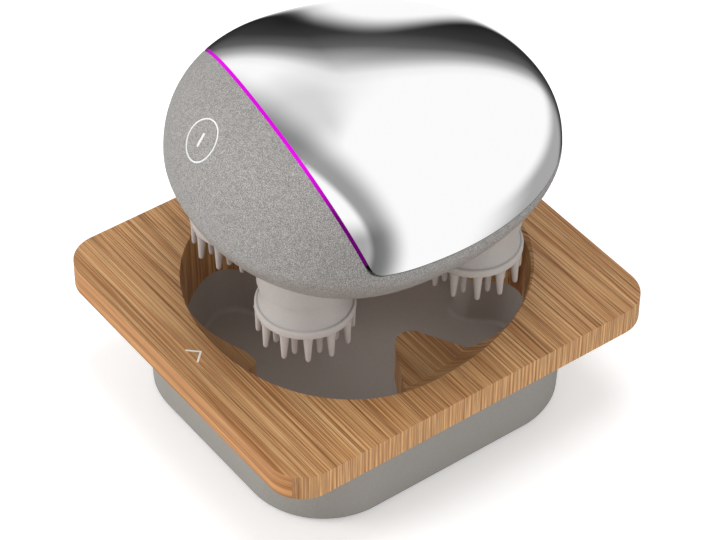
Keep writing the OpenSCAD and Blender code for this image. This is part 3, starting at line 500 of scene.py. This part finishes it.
def makeDeck():
    work = roundedBlock(deck["width"], deck["length"], deck["edge"], deck["corner"])
    bmesh.ops.translate(work, vec=(0, 0, deck["top"] - deck["edge"] / 2), verts=work.verts)
    millimetres(work)
    piece = makePiece("bambooDeck", work)
    height = deck["block"] - deck["edge"] + 1
    blockWidth, blockLength = (deck[side] - 2 * deck["blockInset"] for side in ("baseWidth", "baseLength"))
    block = roundedBlock(blockWidth, blockLength, height, deck["blockCorner"])
    bmesh.ops.translate(block, vec=(0, 0, deck["top"] - deck["block"] + height / 2), verts=block.verts)
    millimetres(block)
    carve(piece, makePiece("block", block), "UNION")
    well = wellForm(wellOutline(), deck["top"] - deck["block"] - 1, deck["top"] + 1)
    millimetres(well)
    carve(piece, makePiece("well", well))
    dish = shellForm(-deck["seatGap"], 180, 96)
    closeUp(dish)
    bmesh.ops.translate(dish, vec=(0, 0, deck["top"] + deck["seatRise"]), verts=dish.verts)
    millimetres(dish)
    tool = makePiece("dish", dish)
    flat = roundedBlock(2 * shell["halfWidth"], 2 * deck["flatHalf"], deck["flatDepth"], 1, 2)
    top = deck["top"] + deck["seatRise"] - shell["belly"] - deck["seatGap"]
    bmesh.ops.translate(flat, vec=(0, deck["tongueShift"], top - deck["flatDepth"] / 2), verts=flat.verts)
    millimetres(flat)
    carve(tool, makePiece("flat", flat))
    carve(piece, tool)
    pocket = mergedCopy("arrow_inlay")
    top = max(v.co.z for v in pocket.verts)
    bmesh.ops.translate(pocket, vec=(0, 0, mm), verts=[v for v in pocket.verts if v.co.z > top - 1e-5])
    carve(piece, makePiece("pocket", pocket))
    dress(piece, "dock", "bamboo", finishes["bambooTop"], "bamboo_deck")
    piece.data.materials.append(finishes["bambooSide"])
    for face in piece.data.polygons:
        atEdge = abs(face.center.y) > (deck["length"] / 2 - 4) * mm
        face.material_index = 1 if atEdge and abs(face.normal.y) > 0.75 else 0
    shadeSmooth(piece.data, 30)
    softEdges(piece, deck["softEdge"])


makeDeck()
print("deck made")

base = mergedCopy("base_shell")
baseTub = makePiece("baseTub", base, 30)
weigh = baseTub.modifiers.new("even shading", "WEIGHTED_NORMAL")
weigh.keep_sharp = True
dress(baseTub, "dock", "base_plastic", finishes["base"], "base_shell")

cup = {"fillet": 1.6, "steps": 4, "floorShare": 0.3}


def makeCup():
    work = mergedCopy("well_liner")
    low = cup["floorShare"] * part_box("well_liner")[1].z
    inside = [f for f in work.faces if f.normal.z > 0.99 and f.calc_center_median().z < low]
    edges = [e for f in inside for e in f.edges if any(g not in inside for g in e.link_faces)]
    bmesh.ops.bevel(
        work, geom=edges, offset=cup["fillet"] * mm, segments=cup["steps"], affect="EDGES",
        profile=0.5, material=-1, clamp_overlap=True)
    piece = makePiece("wellCup", work, 40)
    dress(piece, "dock", "liner_plastic", finishes["cup"], "well_liner")
    weigh = piece.modifiers.new("even shading", "WEIGHTED_NORMAL")
    weigh.keep_sharp = True


makeCup()
print("dock made")


# Massager, in millimetres about the middle of its widest line

held = {"height": 91.7, "turn": -8.5}
seam = {
    "front": 21.5, "lean": 0.35, "line": 1.1, "edge": 2.2, "joint": 0.25, "corner": 4, "steps": 12,
    "lineFloor": 6.2, "lineInset": 0.12, "lineDepth": 2.6, "glowFoot": 6, "glowTop": 34,
}
carried = (Matrix.Translation((0, 0, held["height"] * mm))
           @ Matrix.Rotation(math.radians(held["turn"]), 4, "Z"))


def carry(work):
    millimetres(work)
    bmesh.ops.transform(work, matrix=carried, verts=work.verts)


# Planes round the bright cover's zone, each as a point and the direction out of the zone
def seamPlanes(ahead, down):
    lean = math.atan(seam["lean"])
    front = seam["front"] + ahead / math.cos(lean)
    radius = seam["corner"]
    z = seam["edge"] - down + radius
    y = radius / math.cos(lean) - seam["lean"] * z - front
    planes = []
    for step in range(seam["steps"] + 1):
        angle = lean + (math.pi / 2 - lean) * step / seam["steps"]
        outward = Vector((0, -math.cos(angle), -math.sin(angle)))
        planes.append((Vector((0, y, z)) + radius * outward, outward))
    return planes


def makeCover():
    work = shellForm()
    for point, outward in seamPlanes(-seam["line"] / 2, 0):
        cutAway(work, point, outward)
    closeUp(work, 1e-4)
    carry(work)
    piece = makePiece("brightCover", work, 60)
    giveWall(piece, shell["wall"])
    softEdges(piece, 0.3, 3, 60)
    dress(piece, "massager", "bright_plating", finishes["bright"], "chrome_cover")


def makeCasing():
    work = shellForm()
    cutAway(work, (0, 0, -shell["belly"]), (0, 0, -1))
    planes = seamPlanes(seam["line"] / 2, seam["joint"])
    for point, outward in planes:
        cutAway(work, point, outward, clear=False)
    covered = [f for f in work.faces if all((f.calc_center_median() - p).dot(n) < 0 for p, n in planes)]
    bmesh.ops.delete(work, geom=covered, context="FACES")
    closeUp(work, 1e-4)
    carry(work)
    piece = makePiece("frontCasing", work, 60)
    giveWall(piece, shell["wall"])
    applyChanges(piece)
    return piece


def makeLightLine():
    work = shellForm(seam["lineInset"])
    point, outward = seamPlanes(seam["line"] / 2, 0)[0]
    cutAway(work, point, outward)
    point, outward = seamPlanes(-seam["line"] / 2, 0)[0]
    cutAway(work, point, -outward)
    cutAway(work, (0, 0, seam["lineFloor"]), (0, 0, -1))
    closeUp(work, 1e-4)
    carry(work)
    piece = makePiece("lightLine", work, 60)
    giveWall(piece, seam["lineDepth"])
    glow = glowFinish({"foot": held["height"] + seam["glowFoot"], "top": held["height"] + seam["glowTop"]})
    dress(piece, "massager", "light_line", glow, "light_guide")


makeCover()
casing = makeCasing()
makeLightLine()
print("shells made")


# Button

button = {
    "x": -4, "z": 20.2, "radius": 6, "gap": 0.12, "ring": 0.5, "ringDepth": 1,
    "capDepth": 2.4, "mark": (0.95, 4.4, 0.6), "markTurn": 12, "stem": 2.4, "stemFoot": -4.05,
}


def buttonFrame():
    k = (1 - (button["z"] / shell["top"]) ** shell["upper"]) ** (1 / shell["upper"])
    rise = (button["z"] / shell["top"]) ** (shell["upper"] - 1) / shell["top"]
    run = k ** (shell["upper"] - 1) / shell["front"]
    tilt = math.atan(rise / run)
    place = Matrix.Translation((button["x"], -shell["front"] * k - shell["shift"], button["z"]))
    return place @ Matrix.Rotation(math.pi / 2 - tilt, 4, "X")


def onButton(work):
    bmesh.ops.transform(work, matrix=buttonFrame(), verts=work.verts)
    carry(work)
    return work


def rod(radius, low, high, bore=0, steps=96):
    work = bmesh.new()
    inner = [(bore, high), (bore, low)] if bore else [(0, high), (0, low)]
    profile = [inner[1], (radius, low), (radius, high), inner[0]] + ([inner[1]] if bore else [])
    turn(work, profile, steps)
    closeUp(work)
    return work


def shellPatch(name, depth):
    work = shellForm()
    cutAway(work, (0, -30, 0), (0, 1, 0))
    cutAway(work, (0, 0, 8), (0, 0, -1))
    cutAway(work, (16, 0, 0), (1, 0, 0))
    cutAway(work, (-24, 0, 0), (-1, 0, 0))
    closeUp(work, 1e-4)
    carry(work)
    piece = makePiece(name, work, 60)
    giveWall(piece, depth)
    applyChanges(piece)
    return piece


def bar(width, length, low, high):
    work = bmesh.new()
    bmesh.ops.create_cube(work, size=1)
    bmesh.ops.scale(work, vec=(width, length, high - low), verts=work.verts)
    bmesh.ops.translate(work, vec=(0, 0, (low + high) / 2), verts=work.verts)
    turned = Matrix.Rotation(math.radians(button["markTurn"]), 3, "Z")
    bmesh.ops.rotate(work, cent=(0, 0, 0), matrix=turned, verts=work.verts)
    return onButton(work)


def makeButton():
    outer = button["radius"] + button["gap"] + button["ring"]
    carve(casing, makePiece("hole", onButton(rod(outer, -12, 12))))
    ring = shellPatch("buttonRing", button["ringDepth"])
    carve(ring, makePiece("tube", onButton(rod(outer, -12, 12, outer - button["ring"]))), "INTERSECT")
    dress(ring, "massager", "white_print", finishes["print"], "button_ring")
    cap = shellPatch("buttonCap", button["capDepth"])
    carve(cap, makePiece("disc", onButton(rod(button["radius"], -12, 12))), "INTERSECT")
    width, length, depth = button["mark"]
    mark = shellPatch("buttonMark", depth)
    carve(mark, makePiece("bar", bar(width, length, -12, 12)), "INTERSECT")
    carve(cap, makePiece("slot", bar(width, length, -depth, 12)))
    stem = rod(button["stem"], button["stemFoot"], -button["capDepth"] + 0.4, 0, 48)
    carve(cap, makePiece("stem", onButton(stem)), "UNION")
    shadeSmooth(cap.data, 40)
    softEdges(cap, 0.15, 2, 50)
    dress(cap, "button", "speckled_grey", finishes["speckled"], "button_cap")
    dress(mark, "button", "white_print", finishes["print"], "button_mark")


makeButton()

under = {"collar": 14.1, "collarTop": 11}
heads = {
    "halfX": 21.2, "ring": 35, "rimZ": 28.5, "rim": 14.7, "rimT": 2.4,
    "drum": 12.6, "flare": 14.1, "flareH": 7.5,
    "drumTop": 10.5, "spigot": 9, "spigotH": 1.2, "bore": 2, "boreFoot": 2.5,
    "lip": 0.8, "lipRise": 0.25, "lipSeat": 1.3, "footRound": 0.5,
    "outerTines": 12, "outerInset": 1.55, "outerTip": 11.7, "outerRoot": 1.45,
    "innerTines": 8, "innerRing": 9.4, "innerTip": 13.1, "innerRoot": 1.3,
    "turn": -24, "lean": 0.7, "steps": 96, "tineSteps": 16,
}
headY = math.sqrt(heads["ring"] ** 2 - heads["halfX"] ** 2)
headPlaces = [(side * heads["halfX"], end * headY) for side, end in ((1, -1), (1, 1), (-1, 1), (-1, -1))]

for x, y in headPlaces:
    opening = rod(under["collar"], -40, -under["collarTop"] + 0.1)
    bmesh.ops.translate(opening, vec=(x, y, 0), verts=opening.verts)
    carry(opening)
    carve(casing, makePiece("opening", opening))
socket = {"width": 9.2, "height": 3.4, "middle": -5, "start": 50.6, "end": 75}
slotCorner = socket["height"] / 2 - 0.01
slot = roundedBlock(socket["width"], socket["height"], socket["end"] - socket["start"], slotCorner)
bmesh.ops.rotate(slot, cent=(0, 0, 0), matrix=Matrix.Rotation(math.radians(90), 3, "X"), verts=slot.verts)
bmesh.ops.translate(slot, vec=(0, (socket["start"] + socket["end"]) / 2, socket["middle"]), verts=slot.verts)
carry(slot)
carve(casing, makePiece("socketOpening", slot))
shadeSmooth(casing.data, 50)
softEdges(casing, 0.2, 2, 60)
dress(casing, "massager", "speckled_grey", finishes["speckled"], "casing")

underCover = makePiece("underCover", mergedCopy("bottom_cover"), 35)
softEdges(underCover, 0.5, 3, 50)
dress(underCover, "massager", "cover_grey", finishes["cover"], "bottom_cover")
print("button and underside made")


# Heads

def drumProfile():
    points = [(0, heads["boreFoot"]), (heads["bore"], heads["boreFoot"]), (heads["bore"], heads["drumTop"]),
              (heads["drum"] - 0.4, heads["drumTop"]), (heads["drum"], heads["drumTop"] - 0.4)]
    steps = 12
    for step in range(steps + 1):
        angle = math.pi / 2 * step / steps
        points.append((heads["drum"] + (heads["flare"] - heads["drum"]) * (1 - math.cos(angle)),
                       heads["flareH"] * (1 - math.sin(angle))))
    return points + [(heads["spigot"], 0), (heads["spigot"], -heads["spigotH"]), (0, -heads["spigotH"])]


def padProfile():
    outer, lip, foot = heads["rim"], heads["lip"], heads["footRound"]
    points = [(0, -heads["spigotH"]), (heads["spigot"], -heads["spigotH"]),
              (heads["spigot"], 0), (outer - heads["lipSeat"], 0)]
    for step in range(7):
        angle = math.pi / 2 * (1 - step / 6)
        points.append((outer - lip + lip * math.cos(angle), heads["lipRise"] - lip + lip * math.sin(angle)))
    for step in range(5):
        angle = math.pi / 2 * step / 4
        points.append((outer - foot + foot * math.cos(angle), -heads["rimT"] + foot - foot * math.sin(angle)))
    return points + [(0, -heads["rimT"])]


def tineProfile(tip, root):
    return [(0, -1.6), (root + 0.35, -2.1), (root + 0.12, -2.9), (root - 0.06, -3.8), (0.82, -tip + 1.1),
            (0.74, -tip + 0.55), (0.52, -tip + 0.18), (0.26, -tip + 0.03), (0, -tip)]


def makeTine(work, centre, tip, root, lean=0):
    tine = bmesh.new()
    turn(tine, tineProfile(tip, root), heads["tineSteps"])
    for vert in tine.verts:
        vert.co.x -= lean * (vert.co.z + heads["rimT"]) / tip
    heading = math.atan2(centre[1], centre[0])
    bmesh.ops.rotate(tine, cent=(0, 0, 0), matrix=Matrix.Rotation(heading, 3, "Z"), verts=tine.verts)
    bmesh.ops.translate(tine, vec=(centre[0], centre[1], 0), verts=tine.verts)
    mesh = bpy.data.meshes.new("tine")
    tine.to_mesh(mesh)
    tine.free()
    work.from_mesh(mesh)
    bpy.data.meshes.remove(mesh)


def polar(radius, degrees):
    return radius * math.cos(math.radians(degrees)), radius * math.sin(math.radians(degrees))


def makePad():
    work = bmesh.new()
    turn(work, padProfile(), heads["steps"])
    closeUp(work)
    millimetres(work)
    pad = makePiece("pad", work)
    tines = bmesh.new()
    for step in range(heads["outerTines"]):
        centre = polar(heads["rim"] - heads["outerInset"], heads["turn"] + step * 360 / heads["outerTines"])
        makeTine(tines, centre, heads["outerTip"], heads["outerRoot"], heads["lean"])
    for step in range(heads["innerTines"]):
        centre = polar(heads["innerRing"], heads["turn"] + (step + 0.5) * 360 / heads["innerTines"])
        makeTine(tines, centre, heads["innerTip"], heads["innerRoot"])
    makeTine(tines, (0, 0), heads["innerTip"], heads["innerRoot"])
    closeUp(tines)
    millimetres(tines)
    carve(pad, makePiece("tines", tines), "UNION")
    return pad


drumWork = bmesh.new()
turn(drumWork, drumProfile(), heads["steps"])
closeUp(drumWork)
millimetres(drumWork)
drum = makePiece("drum", drumWork)
pad = makePad()
for number, (x, y) in enumerate(headPlaces, 1):
    stand = carried @ Matrix.Translation((x * mm, y * mm, -heads["rimZ"] * mm))
    for source, name, finish, slot, node in (
            (drum, "headDrum", "head", "head_grey", "head_hub"),
            (pad, "headPad", "tine", "tine_rubber", "tine_pad")):
        mesh = source.data.copy()
        mesh.transform(stand)
        shadeSmooth(mesh, 40)
        piece = bpy.data.objects.new(f"{name}_{number}", mesh)
        bpy.context.scene.collection.objects.link(piece)
        dress(piece, f"head_{number}", slot, finishes[finish], f"{node}_{number}")
bpy.data.objects.remove(drum)
bpy.data.objects.remove(pad)
print("heads made")


# Stage

studio = {"floor": 4.0, "world": 0.74, "floorLift": 0.3}


def makeFloor():
    work = bmesh.new()
    bmesh.ops.create_grid(work, x_segments=1, y_segments=1, size=studio["floor"])
    piece = makePiece("floor", work)
    made = Finish("floorPaper", Roughness=0.9, Base_Color=(0.93, 0.93, 0.93, 1))
    made.shader.inputs["Specular IOR Level"].default_value = 0.1
    made.feed(made.shader.inputs["Emission Color"], (1, 1, 1, 1))
    path = made.node("LightPath")
    seen = made.math("MAXIMUM", path.outputs["Is Camera Ray"], path.outputs["Is Glossy Ray"])
    made.set("Emission Strength", made.math("MULTIPLY", seen, studio["floorLift"]))
    piece.data.materials.append(made.material)
    piece.visible_glossy = False


def makeWorld():
    world = bpy.data.worlds.new("studio")
    bpy.context.scene.world = world
    world.use_nodes = True
    tree = world.node_tree
    back = tree.nodes["Background"]
    back.inputs["Color"].default_value = (1, 1, 1, 1)
    path = tree.nodes.new("ShaderNodeLightPath")
    seen = tree.nodes.new("ShaderNodeMath")
    seen.operation = "MAXIMUM"
    tree.links.new(path.outputs["Is Camera Ray"], seen.inputs[0])
    tree.links.new(path.outputs["Is Glossy Ray"], seen.inputs[1])
    level = tree.nodes.new("ShaderNodeMapRange")
    level.inputs["To Min"].default_value = studio["world"]
    level.inputs["To Max"].default_value = 1
    tree.links.new(seen.outputs[0], level.inputs["Value"])
    tree.links.new(level.outputs[0], back.inputs["Strength"])


def addLamp(name, place, aim, size, power):
    data = bpy.data.lights.new(name, "AREA")
    data.shape = "DISK"
    data.size = size
    data.energy = power
    piece = bpy.data.objects.new(name, data)
    direction = Vector(aim) - Vector(place)
    piece.matrix_world = Matrix.Translation(place) @ direction.to_track_quat("-Z", "Y").to_matrix().to_4x4()
    piece.visible_camera = False
    piece.visible_glossy = False
    bpy.context.scene.collection.objects.link(piece)


# A dome that only reflections see: a white room with a dark screen behind the massager, a tall
# window in the screen, a grey curtain overhead, a thin veil above the screen, and a grey wall below
# and beside. Angles are in degrees: round from +Y towards +X, and up.
dome = {
    "radius": 20, "height": 0.09,
    "screen": (-50, 29, 37), "window": (-50, 10, -6, 28),
    "curtain": (-0.38, -0.28, -0.22, 0.12, 0.66),
    "veil": {"up": (34, 54, 66, 88), "round": (-165, -110, -66, -36), "strength": 0.3},
    "wall": {"below": (-22, -4, -34, -14, 20, 60), "beside": (82, 116, 130, 170, 10, 40), "strength": 0.6},
}


def domeFinish(setup):
    made = Finish("domePanels")
    made.tree.nodes.remove(made.shader)
    parts = made.node("SeparateXYZ", Vector=made.node("TexCoord").outputs["Object"]).outputs

    def smooth(value, low, high):
        step = made.node("MapRange", Value=value, From_Min=low, From_Max=high)
        step.interpolation_type = "SMOOTHSTEP"
        return step.outputs[0]

    def times(*values):
        product = values[0]
        for value in values[1:]:
            product = made.math("MULTIPLY", product, value)
        return product

    def without(value):
        return made.math("SUBTRACT", 1.0, value)

    def oval(acrossMiddle, acrossHalf, upMiddle, upHalf):
        across = made.math("DIVIDE", made.math("SUBTRACT", around, acrossMiddle), acrossHalf)
        up = made.math("DIVIDE", made.math("MAXIMUM", made.math("SUBTRACT", rise, upMiddle), 0.0), upHalf)
        return made.math("SQRT", made.math("ADD", times(across, across), times(up, up)))

    depth = made.math("DIVIDE", parts["Y"], setup["radius"])
    around = times(made.math("ARCTAN2", parts["X"], parts["Y"]), 180 / math.pi)
    level = made.math("SUBTRACT", parts["Z"], setup["height"])
    rise = times(made.math("ARCSINE", made.math("DIVIDE", level, setup["radius"])), 180 / math.pi)

    screenMiddle, screenHalf, screenTop = setup["screen"]
    screen = made.ramp(made.math("DIVIDE", oval(screenMiddle, screenHalf, 0, screenTop), 1.3),
                       (0.25, 0.012), (0.5, 0.04), (0.66, 0.12), (0.78, 0.4), (0.9, 0.9), (1.0, 1.0))
    middle, half, foot, height = setup["window"]
    leftEdge = smooth(around, middle - half - 1, middle - half + 2)
    window = times(without(smooth(oval(middle, half, foot, height), 0.55, 1.15)), leftEdge)
    nearEdge, nearDark, farDark, farEdge, strength = setup["curtain"]
    curtain = times(smooth(depth, nearEdge, nearDark), without(smooth(depth, farDark, farEdge)), strength)
    foot, top, left, leftFull, right, rightEnd = setup["wall"]["below"]
    below = times(without(smooth(rise, foot, top)), smooth(around, left, leftFull),
                  without(smooth(around, right, rightEnd)), setup["wall"]["strength"])
    left, leftFull, right, rightEnd, top, topEnd = setup["wall"]["beside"]
    beside = times(smooth(around, left, leftFull), without(smooth(around, right, rightEnd)),
                   without(smooth(rise, top, topEnd)), setup["wall"]["strength"])
    foot, footFull, top, topEnd = setup["veil"]["up"]
    left, leftFull, right, rightEnd = setup["veil"]["round"]
    veil = times(smooth(rise, foot, footFull), without(smooth(rise, top, topEnd)),
                 without(smooth(around, right, rightEnd)), smooth(around, left, leftFull),
                 setup["veil"]["strength"])
    shade = times(screen, without(curtain), without(below), without(beside), without(veil))
    shade = made.mix(window, shade, (1, 1, 1, 1))
    made.tree.links.new(made.node("Emission", Color=shade, Strength=1.0).outputs[0],
                        made.tree.nodes["Material Output"].inputs[0])
    return made.material


def makeDome():
    work = bmesh.new()
    bmesh.ops.create_uvsphere(work, u_segments=96, v_segments=48, radius=dome["radius"])
    bmesh.ops.translate(work, vec=(0, 0, dome["height"]), verts=work.verts)
    piece = makePiece("dome", work)
    piece.data.materials.append(domeFinish(dome))
    piece.visible_camera = False
    piece.visible_diffuse = False
    piece.visible_shadow = False
    piece.visible_transmission = False


makeFloor()
makeWorld()
makeDome()
addLamp("overhead", (0.05, 0.1, 1.35), (0, 0, 0.04), 0.7, 5)
addLamp("front", (-0.6, -0.9, 0.6), (0, 0, 0.05), 0.7, 4.5)

scene = bpy.context.scene
scene.view_settings.view_transform = "Standard"
print("stage set")
